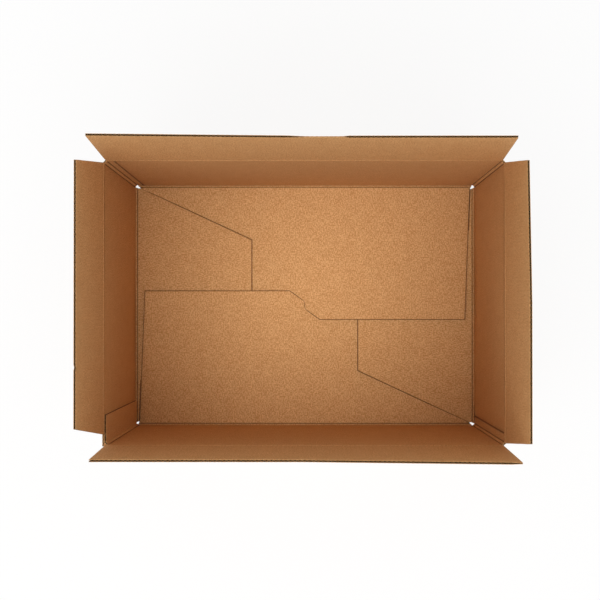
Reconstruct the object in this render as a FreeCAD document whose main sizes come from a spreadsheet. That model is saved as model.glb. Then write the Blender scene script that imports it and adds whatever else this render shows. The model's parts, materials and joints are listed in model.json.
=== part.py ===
"""Open cardboard box of E-flute board: one folded sheet with four top flaps on creases.

Millimetres, +Z up. The origin is the middle of the footprint, on the surface that the
box stands on. X runs along the long sides and +Y points at the back wall.
"""
import FreeCAD, Part
import math
import os

import Sketcher

SIZES = [
    ("inner_length", 305, "between the two short walls"),
    ("inner_width", 216, "between the two long walls"),
    ("inner_height", 235, "from the ground to the crease line of the short flaps"),
    ("board", 1.5, "thickness of the corrugated board"),
    ("fold_radius", 0.6, "inside radius of every fold"),
    ("crease_gap", 0.35, "from a wall's crest to the root of the flap above it"),
    ("stack_gap", 0.4, "between a closed short flap and the long flap on top of it"),
    ("meeting_gap", 1.5, "between the free edges of the closed long flaps"),
    ("long_flap_gap", 1.5, "from each end of a long flap to the short wall beside it"),
    ("short_flap_gap", 1.0, "from each end of a short flap to the long wall beside it"),
    ("glue_corner_gap", 7.7, "the wider slot beside the glued corner"),
    ("short_flap_taper", 8, "how far each end of a short flap slants in"),
    ("glue_corner_taper", 11, "the same at the glued corner"),
    ("tilt_front", 1.2, "degrees that the open front flap leans outwards"),
    ("tilt_back", 3.1, "degrees that the open back flap leans outwards"),
    ("tilt_left", 3.5, "degrees that the open left flap leans outwards"),
    ("tilt_right", 2.7, "degrees that the open right flap leans outwards"),
    ("flute_pitch", 3.28, "from one wave of the corrugated core to the next"),
    ("liner", 0.2, "thickness of each face of the board"),
    ("medium", 0.2, "thickness of the corrugated core"),
    ("flute_margin", 1.6, "solid board between a flap's end and its first flute"),
    ("crush_band", 2, "board crushed solid along a flap's crease"),
    ("nick_place", 46.3, "from the middle of the left flap to the nick in its edge"),
    ("nick_width", 4, "width of the nick"),
    ("nick_depth", 1.8, "depth of the nick"),
    ("glue_tab_width", 22.4, "width of the tab that closes the sheet into a ring"),
    ("glue_tab_lift", 6, "from the ground to the tab's lower end"),
    ("corner_slot", 3.5, "open slot at each end of a bottom panel's fold"),
    ("deep_lap", 13, "how far a long bottom panel's deep half passes the middle"),
    ("shallow_stop", 7, "how far its shallow half stops short of the middle"),
    ("deep_taper", 5, "how far the deep half's outer edge slants in"),
    ("lock_half", 3.5, "half the length of the edges that meet at the middle"),
    ("lock_corner", 13.5, "run of the slanted corner beside the lock"),
    ("short_reach", 105, "reach of a short bottom panel from its wall"),
    ("short_drop", 49, "how far the short panel's slanted edge falls over its reach"),
    ("long_lift", 2.5, "degrees that the deep half of a long bottom panel rises"),
    ("short_lift", 2, "degrees that the covering half of a short bottom panel rises"),
    ("twist_run", 25, "half the stretch over which a bottom panel twists"),
    ("lap_gap", 0.3, "between the edges of bottom panels that lie side by side"),
    ("short_tuck", 40, "from a long wall to the hidden edge of the short panel"),
    ("long_tuck", 50, "from a short wall to the hidden edge of the long panel"),
]

FLAP_DEPTH = "(Sizes.inner_width + Sizes.board - Sizes.meeting_gap) / 2"
WIDE_SHARE = 0.45
STAMP_REACH = 20


def make_sheet(doc):
    """The driving sizes, one row each: name, number, meaning."""
    sheet = doc.addObject("Spreadsheet::Sheet", "Sizes")
    for row, (alias, number, meaning) in enumerate(SIZES, start=1):
        sheet.set(f"A{row}", alias)
        sheet.set(f"B{row}", str(number))
        sheet.set(f"C{row}", meaning)
        sheet.setAlias(f"B{row}", alias)
    doc.recompute()
    return sheet


def bind(thing, bindings):
    """Tie properties of a document object to expressions on the sheet."""
    for name, expression in bindings.items():
        thing.setExpression(name, expression)


def origin_plane(body, role):
    return next(item for item in body.Origin.OriginFeatures if item.Role == role)


def polygon_sketch(body, name, role, corners):
    """A sketch of one closed outline; each corner is a pair of sheet expressions."""
    sketch = body.newObject("Sketcher::SketchObject", name)
    sketch.AttachmentSupport = [(origin_plane(body, role), "")]
    sketch.MapMode = "FlatFace"
    points = [FreeCAD.Vector(sketch.evalExpression(x), sketch.evalExpression(y), 0) for x, y in corners]
    count = len(points)
    for index in range(count):
        sketch.addGeometry(Part.LineSegment(points[index], points[(index + 1) % count]), False)
    for index in range(count):
        sketch.addConstraint(Sketcher.Constraint("Coincident", index, 2, (index + 1) % count, 1))
    for index, (x, y) in enumerate(corners):
        for kind, expression, value in (("DistanceX", x, points[index].x), ("DistanceY", y, points[index].y)):
            number = sketch.addConstraint(Sketcher.Constraint(kind, -1, 1, index, 1, value))
            sketch.setExpression(f"Constraints[{number}]", expression)
    return sketch


def cut_flutes(body, name, half_left, half_right):
    """Hollow the panel between its two liners, leaving the wave of the corrugated core.

    One wave is a pair of channels, one open to each liner; the pattern repeats it along
    the crease. The channels run up the flap and come out at its free edge.
    """
    wide = f"Sizes.flute_pitch * {WIDE_SHARE}"
    first = f"-({half_left}) + Sizes.flute_margin + {wide}"
    face = "(Sizes.board / 2 - Sizes.liner)"
    crest = f"({face} - Sizes.medium)"
    channels = []
    for side, middle, outer, inner in (("inner", first, f"-{face}", crest),
                                       ("outer", f"{first} + Sizes.flute_pitch / 2", face, f"-{crest}")):
        sketch = polygon_sketch(body, f"{name}_{side}_flute", "XY_Plane", [
            (f"{middle} - {wide}", outer),
            (f"{middle} + {wide}", outer),
            (middle, inner),
        ])
        bind(sketch, {"AttachmentOffset.Base.z": FLAP_DEPTH})
        channel = body.newObject("PartDesign::Pocket", f"{name}_{side}_channel")
        channel.Profile = sketch
        bind(channel, {"Length": f"{FLAP_DEPTH} - Sizes.crush_band"})
        channels.append(channel)
    flutes = body.newObject("PartDesign::LinearPattern", f"{name}_flutes")
    flutes.Originals = channels
    flutes.Direction = (channels[0].Profile[0], ["H_Axis"])
    flutes.Mode = "Spacing"
    room = f"{half_left} + {half_right} - 2 * Sizes.flute_margin - 2 * {wide}"
    bind(flutes, {"Offset": "Sizes.flute_pitch", "Occurrences": f"floor(({room}) / Sizes.flute_pitch + 0.5)"})
    body.Tip = flutes


def make_flap(doc, name, yaw, half_left, half_right, slant_left, slant_right, tilt, axis, nick=False):
    """A flap on its crease line: a panel of board with a rounded root on the fold's axis.

    In the body's own frame X runs along the crease, Y points out of the box and Z runs
    up the flap. half_left and half_right reach from the middle to the two ends.
    """
    body = doc.addObject("PartDesign::Body", name)
    corners = [
        (f"-({half_left})", "0"),
        (half_right, "0"),
        (f"{half_right} - {slant_right}", FLAP_DEPTH),
        (f"-({half_left}) + {slant_left}", FLAP_DEPTH),
    ]
    if nick:
        corners[3:3] = [
            ("-Sizes.nick_place + Sizes.nick_width / 2", FLAP_DEPTH),
            ("-Sizes.nick_place", f"{FLAP_DEPTH} - Sizes.nick_depth"),
            ("-Sizes.nick_place - Sizes.nick_width / 2", FLAP_DEPTH),
        ]
    outline = polygon_sketch(body, f"{name}_outline", "XZ_Plane", corners)
    panel = body.newObject("PartDesign::Pad", f"{name}_panel")
    panel.Profile = outline
    panel.Midplane = True
    bind(panel, {"Length": "Sizes.board"})
    root = body.newObject("PartDesign::AdditiveCylinder", f"{name}_root")
    root.AttachmentSupport = [(origin_plane(body, "YZ_Plane"), "")]
    root.MapMode = "FlatFace"
    bind(root, {
        "Radius": "Sizes.board / 2",
        "Height": f"{half_left} + {half_right}",
        "AttachmentOffset.Base.z": f"-({half_left})",
    })
    cut_flutes(body, name, half_left, half_right)
    x, y, z = axis
    place = f"create(<<vector>>; {x}; {y}; {z})"
    turn = f"create(<<rotation>>; {yaw}; 0; -{tilt})"
    bind(body, {"Placement": f"create(<<placement>>; {place}; {turn})"})
    return body


def make_flaps(doc):
    """Four flaps: the long pair folds above the short pair."""
    long_half = "Sizes.inner_length / 2 - Sizes.long_flap_gap"
    short_half = "Sizes.inner_width / 2 - Sizes.short_flap_gap"
    glue_half = "Sizes.inner_width / 2 - Sizes.glue_corner_gap"
    taper = "Sizes.short_flap_taper"
    glue_taper = "Sizes.glue_corner_taper"
    out_long = "(Sizes.inner_width + Sizes.board) / 2"
    out_short = "(Sizes.inner_length + Sizes.board) / 2"
    low = "Sizes.inner_height"
    high = "Sizes.inner_height + Sizes.board + Sizes.stack_gap"
    return [
        make_flap(doc, "flap_back", 0, long_half, long_half, "0", "0",
                  "Sizes.tilt_back", ("0", out_long, high)),
        make_flap(doc, "flap_front", 180, long_half, long_half, "0", "0",
                  "Sizes.tilt_front", ("0", f"-{out_long}", high)),
        make_flap(doc, "flap_left", 90, glue_half, short_half, glue_taper, taper,
                  "Sizes.tilt_left", (f"-{out_short}", "0", low), nick=True),
        make_flap(doc, "flap_right", 270, short_half, short_half, taper, taper,
                  "Sizes.tilt_right", (out_short, "0", low)),
    ]


def make_wall(doc, name, length, crest, turn, out):
    """One upright wall of the ring with its rounded crest, as two primitives."""
    plate = doc.addObject("Part::Box", f"{name}_plate")
    base = "(Sizes.board + Sizes.fold_radius)"
    bind(plate, {
        "Length": f"{length} - 2 * Sizes.fold_radius",
        "Width": "Sizes.board",
        "Height": f"{crest} - {base}",
        "Placement": wall_place(turn, f"-({length}) / 2 + Sizes.fold_radius", f"{out} / 2", base),
    })
    bead = doc.addObject("Part::Cylinder", f"{name}_crest")
    start = wall_place(turn, f"-({length}) / 2 + Sizes.fold_radius", f"({out} + Sizes.board) / 2", crest)
    bind(bead, {
        "Radius": "Sizes.board / 2",
        "Height": f"{length} - 2 * Sizes.fold_radius",
        "Placement": f"{start} * create(<<placement>>; create(<<vector>>; 0; 0; 0);"
                     " create(<<rotation>>; 0; 90; 0))",
    })
    return [plate, bead]


def wall_place(turn, along, out, up):
    """Placement of a thing at a wall: along it, out from the middle, up, turned about Z."""
    spin = f"create(<<placement>>; create(<<vector>>; 0; 0; 0); create(<<rotation>>; {turn}; 0; 0))"
    shift = (f"create(<<placement>>; create(<<vector>>; {along}; {out}; {up});"
             " create(<<rotation>>; 0; 0; 0))")
    return f"{spin} * {shift}"


def make_corner(doc, name, turn, across, out, crest):
    """The rounded upright fold between two walls: a quarter of a tube."""
    tubes = []
    for part, radius in (("outer", "Sizes.fold_radius + Sizes.board"), ("inner", "Sizes.fold_radius")):
        tube = doc.addObject("Part::Cylinder", f"{name}_{part}")
        tube.Angle = 90
        bind(tube, {
            "Radius": radius,
            "Height": f"{crest} + Sizes.board / 2 - Sizes.board - Sizes.fold_radius",
            "Placement": wall_place(turn, f"{across} / 2 - Sizes.fold_radius",
                                    f"{out} / 2 - Sizes.fold_radius", "Sizes.board + Sizes.fold_radius"),
        })
        tubes.append(tube)
    corner = doc.addObject("Part::Cut", name)
    corner.Base = tubes[0]
    corner.Tool = tubes[1]
    return corner


def make_glue_tab(doc, crest):
    """The tab of the front wall that is glued flat inside the left wall."""
    tab = doc.addObject("Part::Box", "glue_tab")
    bind(tab, {
        "Length": "Sizes.board",
        "Width": "Sizes.glue_tab_width",
        "Height": f"{crest} - Sizes.glue_tab_lift",
        "Placement.Base.x": "-Sizes.inner_length / 2",
        "Placement.Base.y": "-Sizes.inner_width / 2",
        "Placement.Base.z": "Sizes.glue_tab_lift",
    })
    return tab


def fold_section(sheet, station, reach, lift):
    """Closed outline of a wall's bottom fold and its panel, cut across the fold.

    The fold's axis is the local X axis, the wall stands on the side of +Y and the panel
    runs off to -Y, raised by lift degrees. station is the place along the fold.
    """
    inside = sheet.fold_radius
    outside = sheet.fold_radius + sheet.board
    rise = math.radians(lift)

    def spot(y, z):
        return FreeCAD.Vector(station, y, z)

    def on_arc(radius, angle):
        return spot(radius * math.cos(angle), radius * math.sin(angle))

    end = -math.pi / 2 - rise
    run = FreeCAD.Vector(0, -math.cos(rise), math.sin(rise)) * reach
    top_start = on_arc(inside, end)
    low_start = on_arc(outside, end)
    return Part.Wire([
        Part.Arc(on_arc(inside, 0), on_arc(inside, end / 2), top_start).toShape(),
        Part.makeLine(top_start, top_start + run),
        Part.makeLine(top_start + run, low_start + run),
        Part.makeLine(low_start + run, low_start),
        Part.Arc(low_start, on_arc(outside, end / 2), on_arc(outside, 0)).toShape(),
        Part.makeLine(on_arc(outside, 0), on_arc(inside, 0)),
    ])


def make_panel(doc, sheet, name, turn, length, width, lift, corners):
    """A bottom panel with its fold: a twisted strip of board trimmed to the panel's outline.

    The strip is flat for negative X and raised by lift degrees for positive X. length is
    the wall's inner length and width the box's inner size across it.
    """
    half = length / 2
    stations = [(-half, 0), (-sheet.twist_run, 0), (sheet.twist_run, lift), (half, lift)]
    sections = [fold_section(sheet, station, width, rise) for station, rise in stations]
    strip = Part.makeLoft(sections, True, True)
    strip.translate(FreeCAD.Vector(0, width / 2 - sheet.fold_radius, sheet.board + sheet.fold_radius))
    below = FreeCAD.Vector(0, 0, -STAMP_REACH)
    outline = Part.makePolygon([FreeCAD.Vector(x, y, 0) + below for x, y in corners + corners[:1]])
    stamp = Part.Face(outline).extrude(FreeCAD.Vector(0, 0, 2 * STAMP_REACH))
    panel = doc.addObject("Part::Feature", name)
    panel.Shape = strip.common(stamp)
    panel.Placement = FreeCAD.Placement(FreeCAD.Vector(0, 0, 0), FreeCAD.Rotation(turn, 0, 0))
    return panel


def long_panel_corners(sheet):
    """Outline of a long bottom panel: shallow half at negative X, deep half at positive X."""
    half = sheet.inner_length / 2
    wall = sheet.inner_width / 2
    past = wall + 2 * sheet.board
    slot = half - sheet.corner_slot
    slope = sheet.short_drop / sheet.short_reach
    beside = sheet.lap_gap / 2
    lock_slope = (sheet.deep_lap - sheet.lock_half) / sheet.lock_corner

    def hidden(from_wall):
        return (from_wall - half, wall - slope * from_wall + sheet.lap_gap)

    shallow_x = (sheet.shallow_stop - sheet.lock_half - sheet.lap_gap) / lock_slope
    return [
        (-slot, past),
        hidden(sheet.corner_slot),
        hidden(sheet.long_tuck),
        (sheet.long_tuck - half, sheet.twist_run),
        (sheet.short_reach * 0.8 - half, sheet.shallow_stop),
        (-shallow_x, sheet.shallow_stop),
        (beside, sheet.lock_half + sheet.lap_gap),
        (beside, -sheet.lock_half),
        (sheet.lock_corner, -sheet.deep_lap),
        (slot - sheet.deep_taper, -sheet.deep_lap),
        (slot, wall - sheet.corner_slot),
        (slot, past),
    ]


def short_panel_corners(sheet):
    """Outline of a short bottom panel, as seen with its wall at +Y.

    Its covering half, at positive X, is cut off by the slanted edge that shows.
    """
    half = sheet.inner_width / 2
    wall = sheet.inner_length / 2
    past = wall + 2 * sheet.board
    slot = half - sheet.corner_slot
    slope = sheet.short_reach / sheet.short_drop
    tuck = half - sheet.short_tuck
    strip_end = wall - sheet.corner_slot + sheet.lap_gap
    fall = sheet.inner_width / 2 - sheet.corner_slot + sheet.deep_lap
    strip_tuck = strip_end - sheet.deep_taper * (sheet.short_tuck - sheet.corner_slot) / fall
    return [
        (-slot, past),
        (-slot, strip_end),
        (-tuck, strip_tuck),
        (-tuck, wall - sheet.short_reach),
        (half - sheet.short_drop, wall - sheet.short_reach),
        (slot, wall - slope * sheet.corner_slot),
        (slot, past),
    ]


def make_box(doc, sheet):
    """The folded sheet without its flaps: walls, upright folds, glue tab, bottom panels."""
    long_crest = "Sizes.inner_height + Sizes.stack_gap - Sizes.crease_gap"
    short_crest = "Sizes.inner_height - Sizes.board - Sizes.crease_gap"
    length = "Sizes.inner_length"
    width = "Sizes.inner_width"
    pieces = [make_glue_tab(doc, short_crest)]
    for side, turn in (("back", 0), ("front", 180)):
        pieces += make_wall(doc, f"{side}_wall", length, long_crest, turn, width)
    for side, turn in (("left", 90), ("right", 270)):
        pieces += make_wall(doc, f"{side}_wall", width, short_crest, turn, length)
    for name, turn, across, out in (("back_right", 0, length, width), ("back_left", 90, width, length),
                                    ("front_left", 180, length, width), ("front_right", 270, width, length)):
        pieces.append(make_corner(doc, f"{name}_corner", turn, across, out, short_crest))
    for side, turn in (("back", 0), ("front", 180)):
        pieces.append(make_panel(doc, sheet, f"{side}_panel", turn, sheet.inner_length, sheet.inner_width,
                                 sheet.long_lift, long_panel_corners(sheet)))
    for side, turn in (("left", 90), ("right", 270)):
        pieces.append(make_panel(doc, sheet, f"{side}_panel", turn, sheet.inner_width, sheet.inner_length,
                                 sheet.short_lift, short_panel_corners(sheet)))
    box = doc.addObject("Part::MultiFuse", "box_body")
    box.Shapes = pieces
    box.Refine = True
    return box


def write_parts(doc, nodes):
    """Check every object and sub-part, then write one STEP file for each sub-part."""
    for item in doc.Objects:
        if "Invalid" in item.State or "Error" in item.State:
            raise RuntimeError(f"{item.Name} did not compute: {item.State}")
    for node in nodes:
        if node.Shape.isNull() or not node.Shape.isValid():
            raise RuntimeError(f"{node.Label} has no valid shape")
    os.makedirs("parts", exist_ok=True)
    for node in nodes:
        node.Shape.exportStep(f"parts/{node.Label}.step")
        print(node.Label, len(node.Shape.Solids), "solid", round(node.Shape.Volume), "mm3")


def main():
    doc = FreeCAD.newDocument("open_cardboard_box")
    sheet = make_sheet(doc)
    nodes = [make_box(doc, sheet)] + make_flaps(doc)
    for node in nodes:
        node.Label = node.Name
    doc.recompute()
    write_parts(doc, nodes)


main()
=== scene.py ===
"""Looks of an open cardboard box: brown kraft corrugated board, scored, folded and glued.

Metres, +Z up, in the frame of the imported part. Each wall is made with its bottom panel as
one flat piece of the blank, (along the wall, up the sheet), and is then folded into place.
"""
import json
import math

import bmesh
import bpy
from mathutils import Matrix, Vector, noise
from mathutils.geometry import intersect_point_line


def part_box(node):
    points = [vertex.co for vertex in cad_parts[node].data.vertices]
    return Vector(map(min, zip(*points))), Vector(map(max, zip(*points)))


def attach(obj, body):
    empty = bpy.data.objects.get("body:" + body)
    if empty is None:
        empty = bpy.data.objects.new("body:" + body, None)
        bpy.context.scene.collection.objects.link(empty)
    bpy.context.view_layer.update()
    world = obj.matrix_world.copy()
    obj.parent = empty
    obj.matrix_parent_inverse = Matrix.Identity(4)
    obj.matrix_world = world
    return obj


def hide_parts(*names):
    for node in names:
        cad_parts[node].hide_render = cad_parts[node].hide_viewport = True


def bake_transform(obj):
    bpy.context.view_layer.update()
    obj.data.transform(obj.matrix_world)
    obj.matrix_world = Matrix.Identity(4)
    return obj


bl_info = {
    "name": "Open cardboard box",
    "version": (1, 0, 0),
    "blender": (4, 5, 0),
    "location": "View3D > Sidebar > Carton",
    "description": "Builds a folded carton of corrugated board around its packed frame",
    "category": "Object",
}

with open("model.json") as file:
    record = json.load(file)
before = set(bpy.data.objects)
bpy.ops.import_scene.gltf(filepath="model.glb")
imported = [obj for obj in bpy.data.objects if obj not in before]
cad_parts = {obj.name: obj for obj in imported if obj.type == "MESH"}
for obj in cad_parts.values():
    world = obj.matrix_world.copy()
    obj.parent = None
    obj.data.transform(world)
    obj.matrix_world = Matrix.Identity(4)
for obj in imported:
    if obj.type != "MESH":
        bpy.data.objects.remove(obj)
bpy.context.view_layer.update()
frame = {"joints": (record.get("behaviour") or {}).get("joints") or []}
HINGES = {joint["child"]: joint for joint in frame["joints"]}
HALF_LENGTH = HINGES["flap_right"]["pos_m"][0]
HALF_WIDTH = HINGES["flap_back"]["pos_m"][1]
MM = 0.001
UP = Vector((0, 0, 1))
# Turn of each wall about Z, in degrees.
SIDES = {"back": 0, "left": 90, "front": 180, "right": 270}
# Edges that run straight up a blank slant by a hair, and points within about a weld are joined.
HAIR = 1e-5
WELD = 1e-6


def length(name, description, default):
    """A size that a user may change, in metres."""
    return bpy.props.FloatProperty(name=name, description=description, default=default,
                                   unit="LENGTH", precision=5)


def angle(name, description, degrees):
    return bpy.props.FloatProperty(name=name, description=description,
                                   default=math.radians(degrees), subtype="ANGLE")


def amount(name, description, default):
    return bpy.props.FloatProperty(name=name, description=description, default=default, precision=3)


def linear(code):
    """An sRGB hex colour as linear light."""
    channels = [int(code[place:place + 2], 16) / 255 for place in (1, 3, 5)]
    return tuple(c / 12.92 if c <= 0.04045 else ((c + 0.055) / 1.055) ** 2.4 for c in channels)


def colour(name, description, code):
    return bpy.props.FloatVectorProperty(name=name, description=description, size=3,
                                         subtype="COLOR", default=linear(code))


class BoardSettings(bpy.types.PropertyGroup):
    """The corrugated board and the marks that its folds leave."""
    caliper: length("Caliper", "Thickness of the board", 1.5 * MM)
    liner: length("Liner", "Thickness of each face of the board", 0.2 * MM)
    core: length("Core", "Thickness of the fluted paper", 0.2 * MM)
    pitch: length("Flute pitch", "From one wave of the core to the next", 3.28 * MM)
    ripple: length("Ripple", "How far the liners sink between the flutes", 0.035 * MM)
    corner_band: length("Corner band", "Run of the crushed band at an upright corner", 2.2 * MM)
    foot_band: length("Foot band", "Run of the crushed band along a bottom fold", 1.9 * MM)
    dent: length("Score dent", "Depth of the line along each side of a band", 0.38 * MM)
    dent_width: length("Dent width", "Half the width of such a line", 0.55 * MM)
    # Along a cut the knife's band is dented, and its colour is also darkened, which paints shade into the
    # lines where panels lap; the short panels get a wider band for a wider painted shade line.
    cut_edge: length("Cut edge", "Width of the band that the knife crushes along a cut", 0.6 * MM)
    short_cut_edge: length("Short cut edge", "The same on the short bottom panels", 1.0 * MM)
    cut_dent: length("Cut dent", "How far that band sinks at the cut", 0.45 * MM)


class PanelSettings(bpy.types.PropertyGroup):
    """The four bottom panels, which lap round one way."""
    corner_slot: length("Corner slot", "Open slot at each end of a fold", 3.5 * MM)
    slot_swell: length("Slot swell", "How far folded board swells into a corner slot", 1.8 * MM)
    corner_cut: length("Corner cut", "How far the blank is cut up an upright fold", 6 * MM)
    corner_run: length("Corner run", "Width of that cut at the fold", 1.6 * MM)
    deep_lap: length("Deep lap", "How far a deep half passes the middle", 13 * MM)
    shallow_stop: length("Shallow stop", "How far a shallow half stops short", 7 * MM)
    deep_taper: length("Deep taper", "Slant of the deep half's outer edge", 5 * MM)
    lock_half: length("Lock", "Half the length of the edges that meet", 3.5 * MM)
    lock_corner: length("Lock corner", "Run of the slanted corner at the lock", 13.5 * MM)
    short_reach: length("Short reach", "Reach of a short panel from its wall", 105 * MM)
    short_drop: length("Short drop", "Fall of the short panel's slanted edge", 49 * MM)
    twist_run: length("Twist", "Half the stretch over which a panel twists", 25 * MM)
    lap_gap: length("Lap gap", "Between edges that lie side by side", 0.3 * MM)
    lap_spread: length("Lap spread", "How far the underside of a cut runs under its neighbour", 0.25 * MM)
    short_tuck: length("Short tuck", "From a long wall to the hidden edge", 40 * MM)
    long_tuck: length("Long tuck", "From a short wall to the hidden edge", 50 * MM)
    long_lift: angle("Long lift", "Rise of a long panel's deep half", 2.5)
    short_lift: angle("Short lift", "Rise of a short panel's covering half", 2.0)


class FlapSettings(bpy.types.PropertyGroup):
    """The four top flaps, their creases and the marks of wear on their edges."""
    meeting_gap: length("Meeting gap", "Between the closed long flaps", 1.5 * MM)
    taper: length("Taper", "Slant of each end of a short flap", 8 * MM)
    glue_taper: length("Glue taper", "The same at the glued corner", 11 * MM)
    crease_reach: length("Crease reach", "Half the width of a crease strip", 3 * MM)
    crease_dent: length("Crease dent", "Depth of the crease line", 0.06 * MM)
    crease_bend: length("Crease bend", "Half the height over which a flap bends away", 2.4 * MM)
    edge_spring: length("Edge spring", "How far down the cut edge the board springs open", 1.2 * MM)
    nick_place: length("Nick place", "From the left flap's middle to its nick", 46.3 * MM)
    nick_width: length("Nick width", "Width of the nick", 4 * MM)
    nick_depth: length("Nick depth", "Depth of the nick", 1.8 * MM)
    crush_start: length("Crush start", "Start of the flattened flutes on the back flap", -12 * MM)
    crush_end: length("Crush end", "End of the flattened flutes on the back flap", 34 * MM)
    crush_depth: length("Crush depth", "How far down the flap the flattening reaches", 4 * MM)
    tab_width: length("Glue tab", "Width of the glued tab", 22.4 * MM)
    tab_lift: length("Tab lift", "From the ground to the tab's lower end", 6 * MM)


class KraftSettings(bpy.types.PropertyGroup):
    """Colours of the uncoated paper, and of the painted shade in crushed lines, cut edges and flutes."""
    light: colour("Light kraft", "Palest fibre of the liner", "#DFB17C")
    dark: colour("Dark kraft", "Darkest fibre of the liner", "#BA8750")
    speck: colour("Speck", "Bark specks in the liner", "#8A5B31")
    # Crushed fibre, and painted shade: folds, score lines and cut edges are darkened towards this colour to
    # draw the shade in their grooves and laps.
    scored: colour("Scored", "Fibre that a score line or a knife has crushed", "#4A2810")
    core: colour("Core", "Cut edge of the fluted paper", "#A87A4A")
    # Painted shade: a nearly black colour for the insides of the flutes, which lie in shade.
    flute_shade: colour("Hollow", "The shaded inside of a flute", "#150C06")


class StageSettings(bpy.types.PropertyGroup):
    """Camera, lamps and floor."""
    camera: bpy.props.FloatVectorProperty(name="Camera", description="Place of the camera", unit="LENGTH",
                                          default=(0.0027, -0.0119, 1.5))
    aim: bpy.props.FloatVectorProperty(name="Aim", description="Point the camera looks at", unit="LENGTH",
                                       default=(-0.0043, 0.0047, 0))
    lens: bpy.props.FloatProperty(name="Lens", description="Focal length for a 36 mm sensor, in mm",
                                  default=99.6)
    key_power: bpy.props.FloatProperty(name="Key", description="Power of the soft lamp at the front left",
                                       default=26, unit="POWER")
    key_size: length("Key size", "Side of that square lamp", 1.5)
    key_place: bpy.props.FloatVectorProperty(name="Key place", description="Middle of that lamp",
                                             unit="LENGTH", default=(-0.25, -0.7, 2.1))
    spot_power: bpy.props.FloatProperty(name="Spot", description="Power of the soft spot overhead",
                                        default=100, unit="POWER")
    spot_height: length("Spot height", "Height of the spot over the floor", 2.2)
    spot_size: length("Spot size", "Radius of the spot's lens, which softens its shadows", 0.1)
    spot_cone: angle("Spot cone", "Full angle of the spot, which fades all the way out", 8)
    sky: amount("Sky", "Strength of the plain pale surroundings", 0.68)
    white_share: amount("White share", "How much of the floor the camera sees as plain white", 0.86)


def add_node(tree, kind, inputs=None, **settings):
    """Add one node; each input is a value or a socket to link from."""
    node = tree.nodes.new(kind)
    for name, value in settings.items():
        setattr(node, name, value)
    for name, value in (inputs or {}).items():
        if isinstance(value, bpy.types.NodeSocket):
            tree.links.new(value, node.inputs[name])
        else:
            node.inputs[name].default_value = value
    return node


def rgba(channels):
    return (*channels, 1.0)


def new_material(name):
    material = bpy.data.materials.new(name)
    material.use_nodes = True
    return material, material.node_tree, material.node_tree.nodes["Principled BSDF"]


# Clouds, pulp and fibres of the liner: size, stretch up the sheet, detail.
GRAIN_LAYERS = ((9 * MM, 1.5, 3), (1.1 * MM, 1.2, 3), (0.7 * MM, 5, 2))
# Weights of fibres and clouds beside the pulp, and the levels of their sum that the colours span.
FIBRE_WEIGHT = 0.55
CLOUD_WEIGHT = 0.15
DARK_LEVEL = 0.72
LIGHT_LEVEL = 0.98
# Specks: their spacing, the radii of core and rim as shares of it, and their strength.
SPECK_SPACING = 9 * MM
SPECK_CORE = 0.04
SPECK_RIM = 0.07
SPECK_STRENGTH = 0.4
# How far the attribute score darkens towards the scored colour: crushed fibre with painted shade.
SCORE_SHADE_STRENGTH = 0.85
# Half the width of the core's drawn line, as a share of the core's thickness.
CORE_LINE = 0.75


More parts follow.
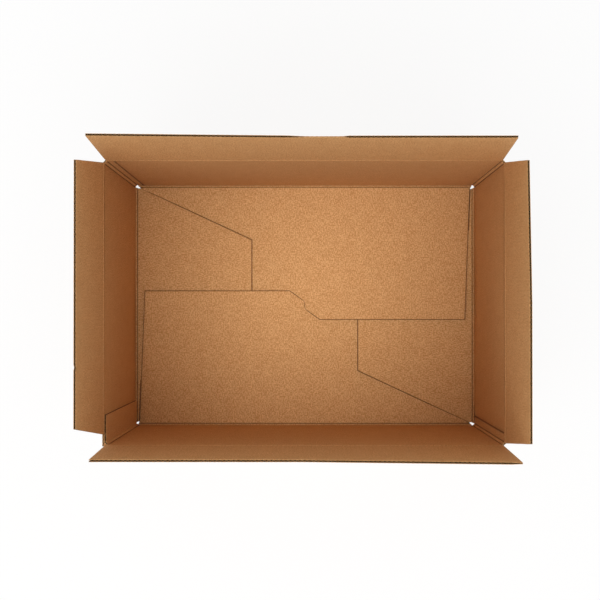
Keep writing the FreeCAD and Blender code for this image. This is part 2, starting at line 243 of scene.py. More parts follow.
def kraft_liner(scene):
    """Uncoated kraft liner: matt, warm brown, cloudy with pulp, with short fibres and few specks.

    The attribute score darkens crushed fibre and also paints shade into folds, score lines and cut edges.
    On the cut edges of a solid sheet, where the attribute through runs from 0 to 1, the core's wave shows
    as paper between hollows of painted shade.
    """
    kraft, board = scene.carton_kraft, scene.carton_board
    material, tree, surface = new_material("uncoated_kraft_liner")
    where = add_node(tree, "ShaderNodeUVMap", uv_map="UVMap").outputs[0]
    layers = []
    for size, stretch, detail in GRAIN_LAYERS:
        along = add_node(tree, "ShaderNodeMapping", {"Vector": where, "Scale": (1, 1 / stretch, 1)})
        layers.append(add_node(tree, "ShaderNodeTexNoise", {
            "Vector": along.outputs[0], "Scale": 1 / size, "Detail": detail, "Roughness": 0.62}).outputs[0])
    cloud, pulp, fibre = layers
    grain = add_node(tree, "ShaderNodeMath", {
        0: fibre, 1: FIBRE_WEIGHT, 2: pulp}, operation="MULTIPLY_ADD")
    mottle = add_node(tree, "ShaderNodeMath", {
        0: cloud, 1: CLOUD_WEIGHT, 2: grain.outputs[0]}, operation="MULTIPLY_ADD")
    tone = add_node(tree, "ShaderNodeMapRange", {
        "Value": mottle.outputs[0], "From Min": DARK_LEVEL, "From Max": LIGHT_LEVEL})
    paper = add_node(tree, "ShaderNodeMix", {
        "Factor": tone.outputs[0], 6: rgba(kraft.dark), 7: rgba(kraft.light)}, data_type="RGBA")
    spots = add_node(tree, "ShaderNodeTexVoronoi", {"Vector": where, "Scale": 1 / SPECK_SPACING})
    speck = add_node(tree, "ShaderNodeMapRange", {
        "Value": spots.outputs["Distance"], "From Min": SPECK_CORE, "From Max": SPECK_RIM,
        "To Min": SPECK_STRENGTH, "To Max": 0.0})
    specked = add_node(tree, "ShaderNodeMix", {
        "Factor": speck.outputs[0], 6: paper.outputs[2], 7: rgba(kraft.speck)}, data_type="RGBA")
    # Painted shade, with crushed fibre: the attribute score darkens folds, score lines and cut edges
    # towards the scored colour.
    score = add_node(tree, "ShaderNodeAttribute", attribute_name="score")
    crushed = add_node(tree, "ShaderNodeMapRange", {
        "Value": score.outputs["Fac"], "To Max": SCORE_SHADE_STRENGTH})
    scored = add_node(tree, "ShaderNodeMix", {
        "Factor": crushed.outputs[0], 6: specked.outputs[2], 7: rgba(kraft.scored)}, data_type="RGBA")

    through = add_node(tree, "ShaderNodeAttribute", attribute_name="through")
    depth = add_node(tree, "ShaderNodeMath", {
        0: through.outputs["Fac"], 1: board.caliper, 2: -board.caliper / 2}, operation="MULTIPLY_ADD")
    spread = add_node(tree, "ShaderNodeSeparateXYZ", {0: where})
    phase = add_node(tree, "ShaderNodeMath", {
        0: spread.outputs[0], 1: math.tau / board.pitch}, operation="MULTIPLY")
    wave = add_node(tree, "ShaderNodeMath", {0: phase.outputs[0]}, operation="SINE")
    swing = (board.caliper - 2 * board.liner - board.core) / 2
    middle = add_node(tree, "ShaderNodeMath", {0: wave.outputs[0], 1: swing}, operation="MULTIPLY")
    on_core = add_node(tree, "ShaderNodeMath", {
        0: depth.outputs[0], 1: middle.outputs[0], 2: board.core * CORE_LINE}, operation="COMPARE")
    # Between the liners and off the core's line, the cut edge is painted with the shade of the hollow
    # flutes.
    inside = add_node(tree, "ShaderNodeMath", {
        0: depth.outputs[0], 1: 0.0, 2: board.caliper / 2 - board.liner}, operation="COMPARE")
    flute_shade = add_node(tree, "ShaderNodeMath", {
        0: inside.outputs[0], 1: on_core.outputs[0]}, operation="SUBTRACT", use_clamp=True)
    finish = add_node(tree, "ShaderNodeMix", {
        "Factor": flute_shade.outputs[0], 6: scored.outputs[2], 7: rgba(kraft.flute_shade)}, data_type="RGBA")
    tree.links.new(finish.outputs[2], surface.inputs["Base Color"])

    bump = add_node(tree, "ShaderNodeBump", {
        "Height": grain.outputs[0], "Strength": 0.45, "Distance": 0.15 * MM})
    tree.links.new(bump.outputs[0], surface.inputs["Normal"])
    surface.inputs["Roughness"].default_value = 0.88
    surface.inputs["Specular IOR Level"].default_value = 0.25
    return material


def recycled_paper(name, code):
    """Rough recycled paper of the fluted core, in one colour clouded with pulp."""
    pulp_size = 1.2 * MM
    shade = 0.7
    material, tree, surface = new_material(name)
    where = add_node(tree, "ShaderNodeUVMap", uv_map="UVMap")
    pulp = add_node(tree, "ShaderNodeTexNoise", {
        "Vector": where.outputs[0], "Scale": 1 / pulp_size, "Detail": 4})
    darker = rgba(channel * shade for channel in code)
    paper = add_node(tree, "ShaderNodeMix", {
        "Factor": pulp.outputs[0], 6: darker, 7: rgba(code)}, data_type="RGBA")
    tree.links.new(paper.outputs[2], surface.inputs["Base Color"])
    surface.inputs["Roughness"].default_value = 0.93
    surface.inputs["Specular IOR Level"].default_value = 0.2
    return material


def fluting_paper(scene):
    """Cut edge of the core, a thin wavy line of darker paper than the liners."""
    return recycled_paper("fluting_paper", scene.carton_kraft.core)


def shaded_flute(scene):
    """Painted shade inside a flute: paper so dark that it looks nearly black, as a flute so narrow and deep
    lies in shade.
    """
    return recycled_paper("shaded_flute", scene.carton_kraft.flute_shade)


def material_made_by(maker):
    """The material of a maker function, made on its first use."""
    names = {kraft_liner: "uncoated_kraft_liner", fluting_paper: "fluting_paper",
             shaded_flute: "shaded_flute"}
    return bpy.data.materials.get(names[maker]) or maker(bpy.context.scene)


def new_object(name, mesh):
    item = bpy.data.objects.new(name, mesh)
    bpy.context.scene.collection.objects.link(item)
    return item


# Turns, in degrees, past which an edge is sharp on folded and on corrugated board.
FOLD_SHARP = 38
FLUTE_SHARP = 45


def soften(mesh, degrees):
    """Smooth shading, with sharp edges where faces turn by more than the angle."""
    mesh.shade_smooth()
    mesh.set_sharp_from_angle(angle=math.radians(degrees))


def flat_blank(outline, cuts_along, cuts_up, slanting=()):
    """A flat outline as a mesh in X and Y, cut along lines so that it can be bent.

    The slanting cuts are pairs of a point on the line and the direction across it.
    """
    blank = bmesh.new()
    blank.faces.new([blank.verts.new((x, y, 0)) for x, y in outline])
    bmesh.ops.triangulate(blank, faces=blank.faces[:])
    lines = [(Vector((cut, 0, 0)), Vector((1, 0, 0))) for cut in cuts_along]
    lines += [(Vector((0, cut, 0)), Vector((0, 1, 0))) for cut in cuts_up]
    for point, across in lines + list(slanting):
        bmesh.ops.bisect_plane(blank, geom=blank.verts[:] + blank.edges[:] + blank.faces[:],
                               plane_co=point, plane_no=across, dist=WELD)
    bmesh.ops.remove_doubles(blank, verts=blank.verts[:], dist=2 * WELD)
    bmesh.ops.recalc_face_normals(blank, faces=blank.faces[:])
    if blank.faces[0].normal.z < 0:
        bmesh.ops.reverse_faces(blank, faces=blank.faces[:])
    return blank


def outward(vert):
    """Direction out of a flat blank at a point of its outline, or none inside it."""
    away = Vector((0, 0, 0))
    for edge in vert.link_edges:
        if edge.is_boundary:
            along = edge.verts[1].co - edge.verts[0].co
            normal = along.cross(UP).normalized()
            inside = edge.link_faces[0].calc_center_median() - edge.verts[0].co
            away += normal if normal.dot(inside) < 0 else -normal
    return away.normalized()


def fold_board(name, blank, place, matrix, spread=0):
    """Bend a flat blank into a closed sheet; place gives its inner and outer skin points.

    Along the cuts of a bottom panel the underside reaches further out by spread.
    """
    board = bmesh.new()
    uv = board.loops.layers.uv.new("UVMap")
    through = board.verts.layers.float.new("through")
    score = board.verts.layers.float.new("score")
    skins = {}
    flat = {}
    for vert in blank.verts:
        pair = []
        inner, outer, crushed = place(vert.co.x, vert.co.y)
        if spread and vert.co.y < -spread:
            under = vert.co + outward(vert) * spread
            outer = place(under.x, under.y)[1]
        for depth, point in enumerate((inner, outer)):
            skin = board.verts.new(matrix @ point)
            skin[through] = depth
            # score holds the painted shade of folds and cuts, with crushed fibre, on the inner skin only.
            skin[score] = crushed * (1 - depth)
            flat[skin] = vert.co.xy
            pair.append(skin)
        skins[vert] = pair
    for face in blank.faces:
        board.faces.new([skins[vert][0] for vert in face.verts])
        board.faces.new([skins[vert][1] for vert in reversed(face.verts)])
    for edge in blank.edges:
        if edge.is_boundary:
            first, second = (loop.vert for loop in (edge.link_loops[0], edge.link_loops[0].link_loop_next))
            board.faces.new([skins[second][0], skins[first][0], skins[first][1], skins[second][1]])
    for face in board.faces:
        for loop in face.loops:
            loop[uv].uv = flat[loop.vert]
    mesh = bpy.data.meshes.new(name)
    board.to_mesh(mesh)
    board.free()
    blank.free()
    soften(mesh, FOLD_SHARP)
    mesh.materials.append(material_made_by(kraft_liner))
    return new_object(name, mesh)


def share(value, start, end):
    """How far value is from start to end, held between 0 and 1."""
    return min(1, max(0, (value - start) / (end - start)))


def ease(value, start, end):
    """The same with a soft start and end."""
    part = share(value, start, end)
    return part * part * (3 - 2 * part)


def spike(value, half_width):
    return math.exp(-(value / half_width) ** 2)


def steps(start, end, pitch):
    """Evenly spaced values strictly between start and end."""
    count = max(1, round((end - start) / pitch))
    return [start + (end - start) * index / count for index in range(1, count)]


def around(middle, reach):
    """Cuts on and beside a score line."""
    return [middle + reach * part for part in (-2, -1, -0.5, 0, 0.5, 1, 2)]


def beside_cut(point, start, end):
    """Distance from a point to the stretch of a cut between two points."""
    nearest, part = intersect_point_line(point, start, end)
    if part < 0:
        nearest = start
    if part > 1:
        nearest = end
    return (point - nearest).length


# Where a long panel's hidden edge meets its shallow stop, as a share of the short panel's reach.
TUCK_SHARE = 0.8


def long_panel(panels, half, wall):
    """Outline of a long bottom panel in plan, from its left slot to its right slot."""
    slot = half - panels.corner_slot
    slope = panels.short_drop / panels.short_reach
    beside = panels.lap_gap / 2
    lock_slope = (panels.deep_lap - panels.lock_half) / panels.lock_corner
    shallow_x = (panels.shallow_stop - panels.lock_half - panels.lap_gap) / lock_slope
    hidden = [(away - half, wall - slope * away + panels.lap_gap)
              for away in (panels.corner_slot, panels.long_tuck)]
    return hidden + [
        (panels.long_tuck - half, panels.twist_run),
        (panels.short_reach * TUCK_SHARE - half, panels.shallow_stop),
        (-shallow_x, panels.shallow_stop),
        (beside, panels.lock_half + panels.lap_gap),
        (beside + HAIR, -panels.lock_half),
        (panels.lock_corner, -panels.deep_lap),
        (slot - panels.deep_taper, -panels.deep_lap),
        (slot, wall - panels.corner_slot),
    ]


def short_panel(panels, half, wall):
    """Outline of a short bottom panel in plan, its covering half at the right."""
    slot = half - panels.corner_slot
    slope = panels.short_reach / panels.short_drop
    tuck = half - panels.short_tuck
    strip_end = wall - panels.corner_slot + panels.lap_gap
    fall = half - panels.corner_slot + panels.deep_lap
    strip_tuck = strip_end - panels.deep_taper * (panels.short_tuck - panels.corner_slot) / fall
    return [
        (-slot, strip_end),
        (-tuck, strip_tuck),
        (-tuck - HAIR, wall - panels.short_reach),
        (half - panels.short_drop, wall - panels.short_reach),
        (slot, wall - slope * panels.corner_slot),
    ]


def wall_ends(side, board):
    """Distance from the wall's middle to the upright fold at each end, or None for a raw end."""
    half = HALF_LENGTH if side in ("back", "front") else HALF_WIDTH
    ends = {-1: half - board.corner_band, 1: half - board.corner_band}
    if side == "front":
        ends[1] -= board.caliper
    if side == "left":
        ends[-1] = None
    return ends


# Soft upright folds near two corners, from the wall's middle, and how far the wall bulges there.
EXTRA_FOLDS = {"back": -146 * MM, "right": 100 * MM}
BULGE = 0.7 * MM
# Spacing of the cuts over a bottom panel and along a wall, and up a wall.
PANEL_STEP = 12 * MM
WALL_STEP = 40 * MM


def make_wall(context, side):
    """One wall and its bottom panel, as a blank that is folded along its score lines."""
    board, panels, flaps = (context.scene.carton_board, context.scene.carton_panels,
                            context.scene.carton_flaps)
    is_long = side in ("back", "front")
    half, out = (HALF_LENGTH, HALF_WIDTH) if is_long else (HALF_WIDTH, HALF_LENGTH)
    skin = board.caliper / 2
    foot = board.foot_band
    foot_flat = foot * math.sqrt(2)
    ends = wall_ends(side, board)
    lift = panels.long_lift if is_long else panels.short_lift
    extra = EXTRA_FOLDS.get(side)
    soft_width = board.dent_width * 1.4
    bulge_run = abs(abs(extra or 0) - half) * 0.9
    diagonal = board.corner_band * math.sqrt(2)
    cut_edge = board.cut_edge if is_long else board.short_cut_edge

    def flat_end(sign):
        if ends[sign] is None:
            return half + skin
        return ends[sign] + (diagonal if side == "front" and sign > 0 else diagonal / 2)

    def place(x, y):
        sign = 1 if x > 0 else -1
        point = Vector((x, out, skin + foot + y))
        yaw = 0
        dent = 0
        fold = ends[sign]
        if fold is not None:
            beyond = abs(x) - fold
            turn = 45 * share(beyond, -board.dent_width, board.dent_width)
            turn += 45 * share(beyond, diagonal - board.dent_width, diagonal + board.dent_width)
            yaw = -sign * math.radians(turn)
            dent = board.dent * max(spike(beyond, board.dent_width),
                                    spike(beyond - diagonal, board.dent_width))
            if beyond > 0:
                point.x = sign * (fold + beyond / math.sqrt(2))
                point.y = out - beyond / math.sqrt(2)
        if extra is not None and y >= 0:
            dent = max(dent, board.dent * spike(x - extra, soft_width))
            point.y += BULGE * max(0, 1 - abs(x - extra) / bulge_run)
        pitch = 0
        if y < 0:
            rise = lift * share(x, -panels.twist_run, panels.twist_run)
            below = -y
            point.y = out - min(below, foot_flat) / math.sqrt(2)
            point.z = skin + foot - min(below, foot_flat) / math.sqrt(2)
            run = max(0, below - foot_flat)
            point.y -= run * math.cos(rise)
            point.z += run * math.sin(rise)
            pitch = (math.pi / 2 - rise) * (share(below, -board.dent_width, board.dent_width)
                                            + share(below, foot_flat - board.dent_width,
                                                    foot_flat + board.dent_width)) / 2
            dent = board.dent * max(spike(below, board.dent_width),
                                    spike(below - foot_flat, board.dent_width))
        elif fold is None or abs(x) < fold:
            dent = max(dent, board.dent * spike(y, board.dent_width))
            pitch = math.radians(45) * share(-y, -board.dent_width, board.dent_width)
        # crushed becomes the attribute score: it darkens crushed fibre and also paints shade into the folds
        # and along the cuts.
        crushed = dent / board.dent
        if y < -foot_flat:
            here = Vector((x, y, 0))
            knife = 1 - share(min(beside_cut(here, start, end) for start, end in cuts), 0, cut_edge)
            dent = max(dent, board.cut_dent * knife)
            crushed = max(crushed, knife)
        level = math.cos(pitch)
        normal = Vector((-math.sin(yaw) * level, math.cos(yaw) * level, -math.sin(pitch)))
        return point - normal * (skin - dent), point + normal * skin, crushed

    slot = half - skin - panels.corner_slot
    outline_plan = long_panel if is_long else short_panel
    corners = outline_plan(panels, half - skin, out - skin)
    plan = [Vector((x, y - out + foot - foot_flat, 0)) for x, y in corners]
    cuts = [(start, end) for start, end in zip(plan, plan[1:]) if (end - start).length > MM]
    top = HINGES["flap_" + side]["pos_m"][2] - flaps.crease_reach - skin - foot
    slot_top = HINGES["flap_back"]["pos_m"][2] - flaps.crease_reach - skin - foot
    left, right = flap_span("flap_" + side)
    swollen = slot + panels.slot_swell
    outline = [(-flat_end(-1), panels.corner_cut), (-flat_end(-1) + panels.corner_run, 0), (-swollen, 0)]
    outline += [(point.x, point.y) for point in plan]
    outline += [(swollen, 0), (flat_end(1) - panels.corner_run, 0)]
    outline += [(flat_end(1), panels.corner_cut), (flat_end(1), slot_top)]
    if slot_top - top > MM:
        outline += [(right, slot_top), (right + HAIR, top), (-left - HAIR, top), (-left, slot_top)]
    outline += [(-flat_end(-1), slot_top)]
    cuts_along = steps(-half, half, PANEL_STEP) + [-panels.twist_run, panels.twist_run, -left, right]
    for sign in (-1, 1):
        if ends[sign] is not None:
            cuts_along += [sign * cut for cut in around(ends[sign], board.dent_width)]
    if side == "front":
        cuts_along += around(ends[1] + diagonal, board.dent_width)[:3]
    if extra is not None:
        cuts_along += around(extra, board.dent_width)
    cuts_up = around(0, board.dent_width) + around(-foot_flat, board.dent_width)
    cuts_up += steps(0, slot_top, WALL_STEP) + steps(-out, -foot_flat, PANEL_STEP)
    inward = [UP.cross(end - start).normalized() for start, end in cuts]
    crushes = [(start + across * cut_edge, across) for (start, _), across in zip(cuts, inward)]
    blank = flat_blank(outline, cuts_along, cuts_up, crushes)
    turn = Matrix.Rotation(math.radians(SIDES[side]), 4, "Z")
    wall = fold_board(side + "_wall", blank, place, turn, panels.lap_spread)
    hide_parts("box_body")
    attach(wall, "box_body")
    return wall


def flap_span(name):
    """Distance from a flap's middle to its two ends at the crease."""
    axis = Vector(HINGES[name]["axis"])
    ends = sorted(axis.dot(corner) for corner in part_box(name))
    return -ends[0], ends[1]


def flap_tilt(name):
    """How far the flap leans outwards at rest, from its joint's range."""
    return math.radians(HINGES[name]["range_deg"][1] - 90)


def hinge_frame(name):
    """Matrix of a hinge: X along the crease, Y out of the box, Z up."""
    along = Vector(HINGES[name]["axis"])
    out = UP.cross(along)
    turn = Matrix((along, out, UP)).transposed().to_4x4()
    return Matrix.Translation(HINGES[name]["pos_m"]) @ turn


def corrugation_tree():
    """Geometry nodes that turn a flat grid into board: two liners and the wave between them.

    The grid lies in X and Z and faces +Y. Its attribute keep says how much of the
    caliper is left at each point, so crushed board is thinner.
    """
    tree = bpy.data.node_groups.new("corrugated_board", "GeometryNodeTree")
    kinds = {"Geometry": "Geometry", "Caliper": "Float", "Liner": "Float", "Core": "Float",
             "Pitch": "Float", "Ripple": "Float", "Liner paper": "Material", "Core paper": "Material",
             "Hollow": "Material"}
    for name, kind in kinds.items():
        tree.interface.new_socket(name, in_out="INPUT", socket_type="NodeSocket" + kind)
    tree.interface.new_socket("Geometry", in_out="OUTPUT", socket_type="NodeSocketGeometry")
    given = add_node(tree, "NodeGroupInput").outputs
    across, keep = [
        add_node(tree, "GeometryNodeInputNamedAttribute", {"Name": label}, data_type="FLOAT").outputs[0]
        for label in ("across", "keep")]
    turns = add_node(tree, "ShaderNodeMath", {0: across, 1: given["Pitch"]}, operation="DIVIDE").outputs[0]
    phase = add_node(tree, "ShaderNodeMath", {0: turns, 1: math.tau}, operation="MULTIPLY").outputs[0]
    wave = add_node(tree, "ShaderNodeMath", {0: phase}, operation="SINE").outputs[0]
    caliper = add_node(tree, "ShaderNodeMath", {
        0: given["Caliper"], 1: keep}, operation="MULTIPLY").outputs[0]
    between = add_node(tree, "ShaderNodeMath", {
        0: caliper, 1: given["Liner"]}, operation="SUBTRACT").outputs[0]
    lining = add_node(tree, "ShaderNodeMath", {0: between, 1: 0.5}, operation="MULTIPLY").outputs[0]
    lower = add_node(tree, "ShaderNodeMath", {0: between, 1: -0.5}, operation="MULTIPLY").outputs[0]
    room = add_node(tree, "ShaderNodeMath", {
        0: between, 1: given["Liner"]}, operation="SUBTRACT").outputs[0]
    free = add_node(tree, "ShaderNodeMath", {0: room, 1: given["Core"]}, operation="SUBTRACT").outputs[0]
    swing = add_node(tree, "ShaderNodeMath", {0: free, 1: 0.5}, operation="MULTIPLY").outputs[0]

    def layer(middle, reach, thickness, below, rim, above):
        """One sheet of paper, closed on all sides, with a paper for each side of it."""
        start = add_node(tree, "ShaderNodeMath", {
            0: thickness, 1: -0.5, 2: middle}, operation="MULTIPLY_ADD").outputs[0]
        shift = add_node(tree, "ShaderNodeMath", {
            0: wave, 1: reach, 2: start}, operation="MULTIPLY_ADD").outputs[0]
        offset = add_node(tree, "ShaderNodeCombineXYZ", {"Y": shift}).outputs[0]
        moved = add_node(tree, "GeometryNodeSetPosition", {
            "Geometry": given["Geometry"], "Offset": offset}).outputs[0]
        raised = add_node(tree, "GeometryNodeExtrudeMesh", {"Mesh": moved, "Offset Scale": thickness,
                                                            "Individual": False}).outputs
        edged = add_node(tree, "GeometryNodeSetMaterial", {
            "Geometry": raised["Mesh"], "Material": rim}).outputs[0]
        topped = add_node(tree, "GeometryNodeSetMaterial", {
            "Geometry": edged, "Selection": raised["Top"], "Material": above}).outputs[0]
        back = add_node(tree, "GeometryNodeFlipFaces", {"Mesh": moved}).outputs[0]
        backed = add_node(tree, "GeometryNodeSetMaterial", {"Geometry": back, "Material": below}).outputs[0]
        both = add_node(tree, "GeometryNodeJoinGeometry", {0: topped})
        tree.links.new(backed, both.inputs[0])
        return add_node(tree, "GeometryNodeMergeByDistance", {
            "Geometry": both.outputs[0], "Distance": WELD}).outputs[0]

    # The sides of the papers that face into the flutes get the painted shade of the hollows.
    kraft, dark = given["Liner paper"], given["Hollow"]
    inner = layer(lower, given["Ripple"], given["Liner"], kraft, kraft, dark)
    wavy = layer(0.0, swing, given["Core"], dark, given["Core paper"], dark)
    outer = layer(lining, given["Ripple"], given["Liner"], dark, kraft, kraft)
    whole = add_node(tree, "GeometryNodeJoinGeometry", {0: inner})
    tree.links.new(wavy, whole.inputs[0])
    tree.links.new(outer, whole.inputs[0])
    real = add_node(tree, "GeometryNodeRealizeInstances", {"Geometry": whole.outputs[0]}).outputs[0]
    add_node(tree, "NodeGroupOutput", {0: real})
    return tree


def corrugate(context, name, columns, rows, reach, keep, warp, matrix):
    """Corrugated board from a grid of columns; reach gives each column's lower and upper end."""
    board = context.scene.carton_board
    mesh = bpy.data.meshes.new(name)
    points = []
    for x in columns:
        low, high = reach(x)
        points += [(x, 0, low + (high - low) * row) for row in rows]
    span = len(rows)
    quads = [(i * span + j, i * span + j + 1, (i + 1) * span + j + 1, (i + 1) * span + j)
             for i in range(len(columns) - 1) for j in range(span - 1)]
    mesh.from_pydata([warp(x, z) for x, _, z in points], [], quads)
    uv = mesh.uv_layers.new(name="UVMap")
    for loop in mesh.loops:
        x, _, z = points[loop.vertex_index]
        uv.data[loop.index].uv = (x, z)
    values = {"across": [x for x, _, _ in points], "keep": [keep(x, z) for x, _, z in points]}
    for label, numbers in values.items():
        mesh.attributes.new(label, "FLOAT", "POINT").data.foreach_set("value", numbers)
    item = new_object(name, mesh)
    tree = bpy.data.node_groups.get("corrugated_board") or corrugation_tree()
    modifier = item.modifiers.new("corrugate", "NODES")
    modifier.node_group = tree
    given = {"Caliper": board.caliper, "Liner": board.liner, "Core": board.core, "Pitch": board.pitch,
             "Ripple": board.ripple, "Liner paper": material_made_by(kraft_liner),
             "Core paper": material_made_by(fluting_paper), "Hollow": material_made_by(shaded_flute)}
    for socket in tree.interface.items_tree:
        if socket.in_out == "INPUT" and socket.name in given:
            modifier[socket.identifier] = given[socket.name]
    graph = context.evaluated_depsgraph_get()
    solid = bpy.data.meshes.new_from_object(item.evaluated_get(graph), depsgraph=graph)
    item.modifiers.remove(modifier)
    item.data = solid
    bpy.data.meshes.remove(mesh)
    solid.name = name
    solid.transform(matrix)
    soften(solid, FLUTE_SHARP)
    return item


# Columns of the grid to one flute, and rows from the crease to the free edge and up the tab.
FLUTE_STEPS = 8
FLAP_ROWS = (0, 0.02, 0.06, 0.2, 0.4, 0.6, 0.8, 0.93, 0.965, 0.985, 1)
TAB_ROWS = (0, 0.02, 0.3, 0.7, 0.98, 1)
# Twist and sideways lean of each flap at its free edge.
FLAP_WARPS = {
    "flap_back": (-1.65 * MM, -1.5 * MM),
    "flap_front": (-1.75 * MM, -1.2 * MM),
    "flap_left": (0, 0),
    "flap_right": (1.9 * MM, 0.5 * MM),
}
# How far the free edge wavers, over long and short waves.
EDGE_WAVER = 0.14 * MM
LONG_WAVE = 9 * MM
SHORT_WAVE = 2 * MM
# The least height of board at a slanted end.
LEAST_BOARD = 0.3 * MM
# How far apart the flaps read the noise.
SEED_STEP = 7
# Shares of the caliper that crushing takes and the cut edge gains, and the runs they act over.
CREASE_LOSS = 0.25
CREASE_LOSS_WIDTH = 2.5 * MM
EDGE_GAIN = 0.16
BACK_LOSS = 0.62
BACK_RAMP_IN = 18 * MM
BACK_RAMP_OUT = 6 * MM
FRONT_LOSS = 0.45
FRONT_RUN = 9 * MM
LEAST_KEPT = 0.36


def flap_slants(flaps, name):
    """Slants of a flap's two ends: only the short flaps taper."""
    if name == "flap_left":
        return flaps.glue_taper, flaps.taper
    if name == "flap_right":
        return flaps.taper, flaps.taper
    return 0, 0


def make_flap(context, name):
    """A top flap of true corrugated board, from its crease strip to its cut free edge."""
    board, flaps = context.scene.carton_board, context.scene.carton_flaps
    left, right = flap_span(name)
    depth = HALF_WIDTH - flaps.meeting_gap / 2
    is_short = name in ("flap_left", "flap_right")
    slants = flap_slants(flaps, name)
    low = flaps.crease_reach
    seed = SEED_STEP * list(HINGES).index(name)

    def reach(x):
        high = depth
        for inset, slant in zip((x + left, right - x), slants):
            if slant and inset < slant:
                high = min(high, depth * inset / slant)
        if name == "flap_left":
            off = abs(x + flaps.nick_place)
            high -= flaps.nick_depth * max(0, 1 - off / (flaps.nick_width / 2))
        coarse = noise.noise(Vector((x / LONG_WAVE, seed, 0)))
        fine = noise.noise(Vector((x / SHORT_WAVE, seed, 3)))
        return low, max(low + LEAST_BOARD, high + EDGE_WAVER * (coarse + 0.5 * fine))

    def keep(x, z):
        left_over = 1 - CREASE_LOSS * spike(z - low, CREASE_LOSS_WIDTH)
        left_over += EDGE_GAIN * math.exp((z - depth) / flaps.edge_spring)
        if name == "flap_back":
            crushed = ease(x, flaps.crush_start, flaps.crush_start + BACK_RAMP_IN)
            crushed *= 1 - ease(x, flaps.crush_end - BACK_RAMP_OUT, flaps.crush_end)
            left_over -= BACK_LOSS * crushed * math.exp((z - depth) / flaps.crush_depth)
        if name == "flap_front":
            crushed = 1 - ease(x, -left, -left + FRONT_RUN)
            left_over -= FRONT_LOSS * crushed * math.exp((z - depth) / flaps.crush_depth)
        return max(LEAST_KEPT, left_over)

    def warp(x, z):
        """Long flaps curl outwards and short ones inwards, so closed flaps stay clear."""
        twist, lean = FLAP_WARPS[name]
        part = z / depth
        curl = 2 * twist * part * x / (left + right)
        return x + lean * part, min(0, curl) if is_short else max(0, curl), z

    inset = [slant * (low + LEAST_BOARD) / depth for slant in slants]
    columns = [-left + inset[0]]
    columns += steps(-left + inset[0], right - inset[1], board.pitch / FLUTE_STEPS) + [right - inset[1]]
    matrix = hinge_frame(name) @ Matrix.Rotation(-flap_tilt(name), 4, "X")
    flap = corrugate(context, name + "_board", columns, FLAP_ROWS, reach, keep, warp, matrix)
    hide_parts(name)
    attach(flap, name)
    return flap


def make_crease(context, name):
    """The scored strip between a wall and its flap, bent to the flap's lean at rest."""
    board, flaps = context.scene.carton_board, context.scene.carton_flaps
    left, right = flap_span(name)
    reach = flaps.crease_reach
    skin = board.caliper / 2
    tilt = flap_tilt(name)
    depth = HALF_WIDTH - flaps.meeting_gap / 2
    slants = [slant * reach / depth for slant in flap_slants(flaps, name)]
    pressed_width = 0.7 * MM
    inner_share = 0.7
    # A little painted shade along the crease line, through the attribute score.
    crease_shade = 0.1
    strips = 6
    step = 10 * MM

    def place(x, y):
        bend = flaps.crease_bend
        turn = tilt * share(y, -bend, bend)
        swing = math.sin(tilt) * (y if y > bend else max(0, y + bend) ** 2 / (4 * bend))
        middle = Vector((x, swing, y * math.cos(turn) if y > 0 else y))
        normal = Vector((0, math.cos(turn), -math.sin(turn)))
        pressed = spike(y, pressed_width)
        dent = flaps.crease_dent * pressed
        inner = middle - normal * (skin - dent * inner_share)
        return inner, middle + normal * (skin - dent), crease_shade * pressed

    outline = [(-left, -reach), (right, -reach), (right, 0), (right - slants[1], reach),
               (-left + slants[0], reach), (-left, 0)]
    cuts_up = [reach * part / strips for part in range(1 - strips, strips)]
    blank = flat_blank(outline, steps(-left, right, step), cuts_up)
    crease = fold_board(name.replace("flap", "crease"), blank, place, hinge_frame(name))
    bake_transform(crease)
    return crease


def make_glue_tab(context):
    """The tab that turns in from the front wall and is glued inside the left wall."""
    board, flaps = context.scene.carton_board, context.scene.carton_flaps
    start = board.corner_band
    width = flaps.tab_width + board.caliper / 2
    top = HINGES["flap_left"]["pos_m"][2] - board.caliper
    slant = 7 * MM
    fold_share = 0.3
    slant_start = 0.6
    rag_height = 0.25 * MM
    rag_size = 1.5 * MM
    tear_place = 5.7 * MM
    tear_depth = 1.6 * MM
    tear_width = 1.2 * MM

    def reach(x):
        cut = share(x, start, width)
        low = flaps.tab_lift + slant * (1 - cut) * fold_share + slant * max(0, cut - slant_start)
        ragged = rag_height * noise.noise(Vector((x / rag_size, 0, 5)))
        tear = tear_depth * spike(x - tear_place, tear_width)
        return low, top + ragged - tear

    columns = [start] + steps(start, width, board.pitch / FLUTE_STEPS) + [width]
    place = Vector((-HALF_LENGTH + board.caliper, -HALF_WIDTH, 0))
    along, out = Vector((0, 1, 0)), Vector((-1, 0, 0))
    matrix = Matrix.Translation(place) @ Matrix((along, out, UP)).transposed().to_4x4()
    tab = corrugate(context, "glue_tab", columns, TAB_ROWS, reach,
                    lambda x, z: 1, lambda x, z: (x, 0, z), matrix)
    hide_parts("box_body")
    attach(tab, "box_body")
    return tab


def floor_paper(scene):
    """Matt white studio paper, seen by the camera as nearly plain white."""
    material, tree, surface = new_material("white_studio_paper")
    surface.inputs["Base Color"].default_value = (0.9, 0.9, 0.9, 1)
    surface.inputs["Roughness"].default_value = 0.95
    surface.inputs["Specular IOR Level"].default_value = 0.0
    light = add_node(tree, "ShaderNodeLightPath").outputs
    direct = add_node(tree, "ShaderNodeMath", {
        0: light["Is Camera Ray"], 1: light["Is Glossy Ray"]}, operation="ADD")
    seen = add_node(tree, "ShaderNodeMath", {
        0: direct.outputs[0], 1: light["Is Transmission Ray"]}, operation="ADD", use_clamp=True)
    factor = add_node(tree, "ShaderNodeMath", {
        0: seen.outputs[0], 1: scene.carton_stage.white_share}, operation="MULTIPLY")
    glow = add_node(tree, "ShaderNodeEmission", {"Color": (1, 1, 1, 1), "Strength": 1.0})
    both = add_node(tree, "ShaderNodeMixShader", {
        0: factor.outputs[0], 1: surface.outputs[0], 2: glow.outputs[0]})
    output = tree.nodes["Material Output"]
    tree.links.new(both.outputs[0], output.inputs["Surface"])
    return material


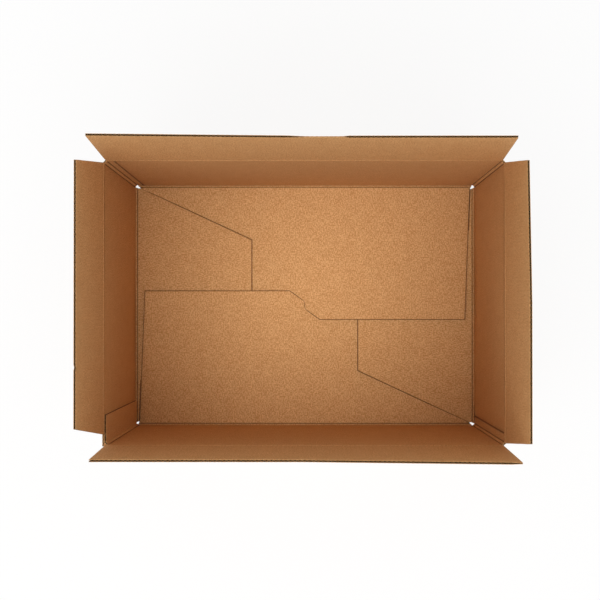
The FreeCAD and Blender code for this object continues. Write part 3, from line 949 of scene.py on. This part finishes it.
def make_stage(context):
    """Floor, a soft lamp, a soft spot overhead, pale surroundings and the camera above the box."""
    stage = context.scene.carton_stage
    mesh = bpy.data.meshes.new("floor")
    reach = 4
    below = -0.1 * MM
    mesh.from_pydata([(-reach, -reach, below), (reach, -reach, below), (reach, reach, below),
                      (-reach, reach, below)], [], [(0, 1, 2, 3)])
    mesh.materials.append(floor_paper(context.scene))
    new_object("floor", mesh)

    lamp = bpy.data.lights.new("key", "AREA")
    lamp.shape = "SQUARE"
    lamp.size = stage.key_size
    lamp.energy = stage.key_power
    key = bpy.data.objects.new("key", lamp)
    key.location = stage.key_place
    key.rotation_euler = Vector(stage.key_place).to_track_quat("Z", "Y").to_euler()
    context.scene.collection.objects.link(key)

    beam = bpy.data.lights.new("spot", "SPOT")
    beam.energy = stage.spot_power
    beam.spot_size = stage.spot_cone
    beam.spot_blend = 1
    beam.shadow_soft_size = stage.spot_size
    spot = bpy.data.objects.new("spot", beam)
    spot.location = (0, 0, stage.spot_height)
    context.scene.collection.objects.link(spot)

    world = bpy.data.worlds.new("pale_surroundings")
    context.scene.world = world
    world.use_nodes = True
    tree = world.node_tree
    sky = tree.nodes["Background"]
    sky.inputs["Color"].default_value = (1, 1, 1, 1)
    sky.inputs["Strength"].default_value = stage.sky
    plain = add_node(tree, "ShaderNodeBackground", {"Color": (1, 1, 1, 1), "Strength": 1.0})
    seen = add_node(tree, "ShaderNodeLightPath").outputs["Is Camera Ray"]
    both = add_node(tree, "ShaderNodeMixShader", {0: seen, 1: sky.outputs[0], 2: plain.outputs[0]})
    tree.links.new(both.outputs[0], tree.nodes["World Output"].inputs["Surface"])

    camera = bpy.data.objects.new("camera", bpy.data.cameras.new("camera"))
    camera.data.lens = stage.lens
    camera.data.sensor_width = 36
    camera.location = stage.camera
    ahead = Vector(stage.aim) - Vector(stage.camera)
    right = ahead.cross(Vector((0, 1, 0))).normalized()
    above = right.cross(ahead).normalized()
    camera.rotation_euler = Matrix((right, above, -ahead.normalized())).transposed().to_euler()
    context.scene.collection.objects.link(camera)
    context.scene.camera = camera
    context.scene.view_settings.view_transform = "Standard"


class CARTON_OT_walls(bpy.types.Operator):
    """Fold the four walls with their bottom panels"""
    bl_idname = "carton.walls"
    bl_label = "Walls and bottom panels"

    def execute(self, context):
        for side in SIDES:
            make_wall(context, side)
        return {"FINISHED"}


class CARTON_OT_glue_tab(bpy.types.Operator):
    """Glue the tab inside the left wall"""
    bl_idname = "carton.glue_tab"
    bl_label = "Glue tab"

    def execute(self, context):
        make_glue_tab(context)
        return {"FINISHED"}


class CARTON_OT_flaps(bpy.types.Operator):
    """Make the four top flaps of corrugated board"""
    bl_idname = "carton.flaps"
    bl_label = "Top flaps"

    def execute(self, context):
        for name in HINGES:
            make_flap(context, name)
        return {"FINISHED"}


class CARTON_OT_creases(bpy.types.Operator):
    """Join each flap to its wall with a scored crease"""
    bl_idname = "carton.creases"
    bl_label = "Flap creases"

    def execute(self, context):
        for name in HINGES:
            make_crease(context, name)
        return {"FINISHED"}


class CARTON_OT_stage(bpy.types.Operator):
    """Set up the floor, lamps and camera"""
    bl_idname = "carton.stage"
    bl_label = "Studio"

    def execute(self, context):
        make_stage(context)
        return {"FINISHED"}


OPERATORS = (CARTON_OT_walls, CARTON_OT_glue_tab, CARTON_OT_flaps, CARTON_OT_creases, CARTON_OT_stage)
SETTINGS = {"carton_board": BoardSettings, "carton_panels": PanelSettings, "carton_flaps": FlapSettings,
            "carton_kraft": KraftSettings, "carton_stage": StageSettings}


class CARTON_PT_sidebar(bpy.types.Panel):
    """Sizes, colours and buttons of the carton"""
    bl_label = "Carton"
    bl_idname = "CARTON_PT_sidebar"
    bl_space_type = "VIEW_3D"
    bl_region_type = "UI"
    bl_category = "Carton"

    def draw(self, context):
        for group in SETTINGS:
            box = self.layout.box()
            settings = getattr(context.scene, group)
            for name in SETTINGS[group].__annotations__:
                box.prop(settings, name)
        for operator in OPERATORS:
            self.layout.operator(operator.bl_idname)


def register():
    for group in SETTINGS.values():
        bpy.utils.register_class(group)
    for name, group in SETTINGS.items():
        setattr(bpy.types.Scene, name, bpy.props.PointerProperty(type=group))
    for item in (*OPERATORS, CARTON_PT_sidebar):
        bpy.utils.register_class(item)


def unregister():
    for item in (CARTON_PT_sidebar, *reversed(OPERATORS)):
        bpy.utils.unregister_class(item)
    for name in SETTINGS:
        delattr(bpy.types.Scene, name)
    for group in reversed(SETTINGS.values()):
        bpy.utils.unregister_class(group)


def main():
    register()
    bpy.ops.carton.walls()
    bpy.ops.carton.glue_tab()
    bpy.ops.carton.flaps()
    bpy.ops.carton.creases()
    bpy.ops.carton.stage()


if __name__ == "__main__":
    main()
